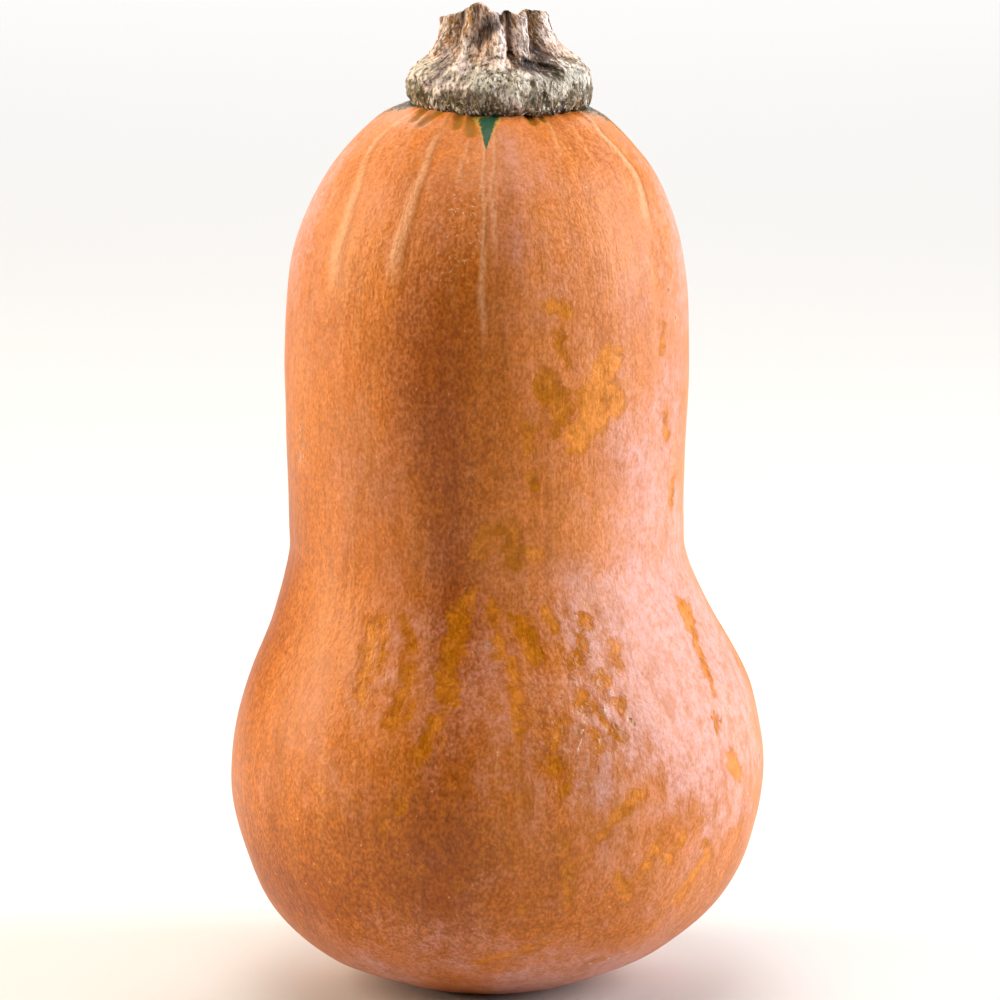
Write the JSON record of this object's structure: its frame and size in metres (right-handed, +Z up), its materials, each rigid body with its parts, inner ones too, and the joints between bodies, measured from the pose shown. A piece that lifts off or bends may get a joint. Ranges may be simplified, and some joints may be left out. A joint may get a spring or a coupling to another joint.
{
  "type": "honeynut squash",
  "caption": "Small butternut-shaped honeynut squash, picked whole: tan-orange rind, round seed bulb, thick straight neck and a dry flared corky stem, standing on its blossom end.",
  "frame": {"origin": "on the resting face under the blossom end, at the centre of the footprint", "axes": "+Z up towards the stem, -Y the front that was pictured, +X to its right"},
  "size_m": [0.0818, 0.082, 0.1525],
  "materials": {
    "rind": "satin waxy tan-orange rind with a pale pinkish bloom, rubbed honey-ochre patches, freckles and pale raised veins at the shoulder",
    "cork": "rough dry corky stalk, tan-brown on its ribs, pale grey on the collar and dark green underneath"
  },
  "bodies": {
    "root": {"fruit": "rind", "stem": "cork"}
  },
  "joints": []
}
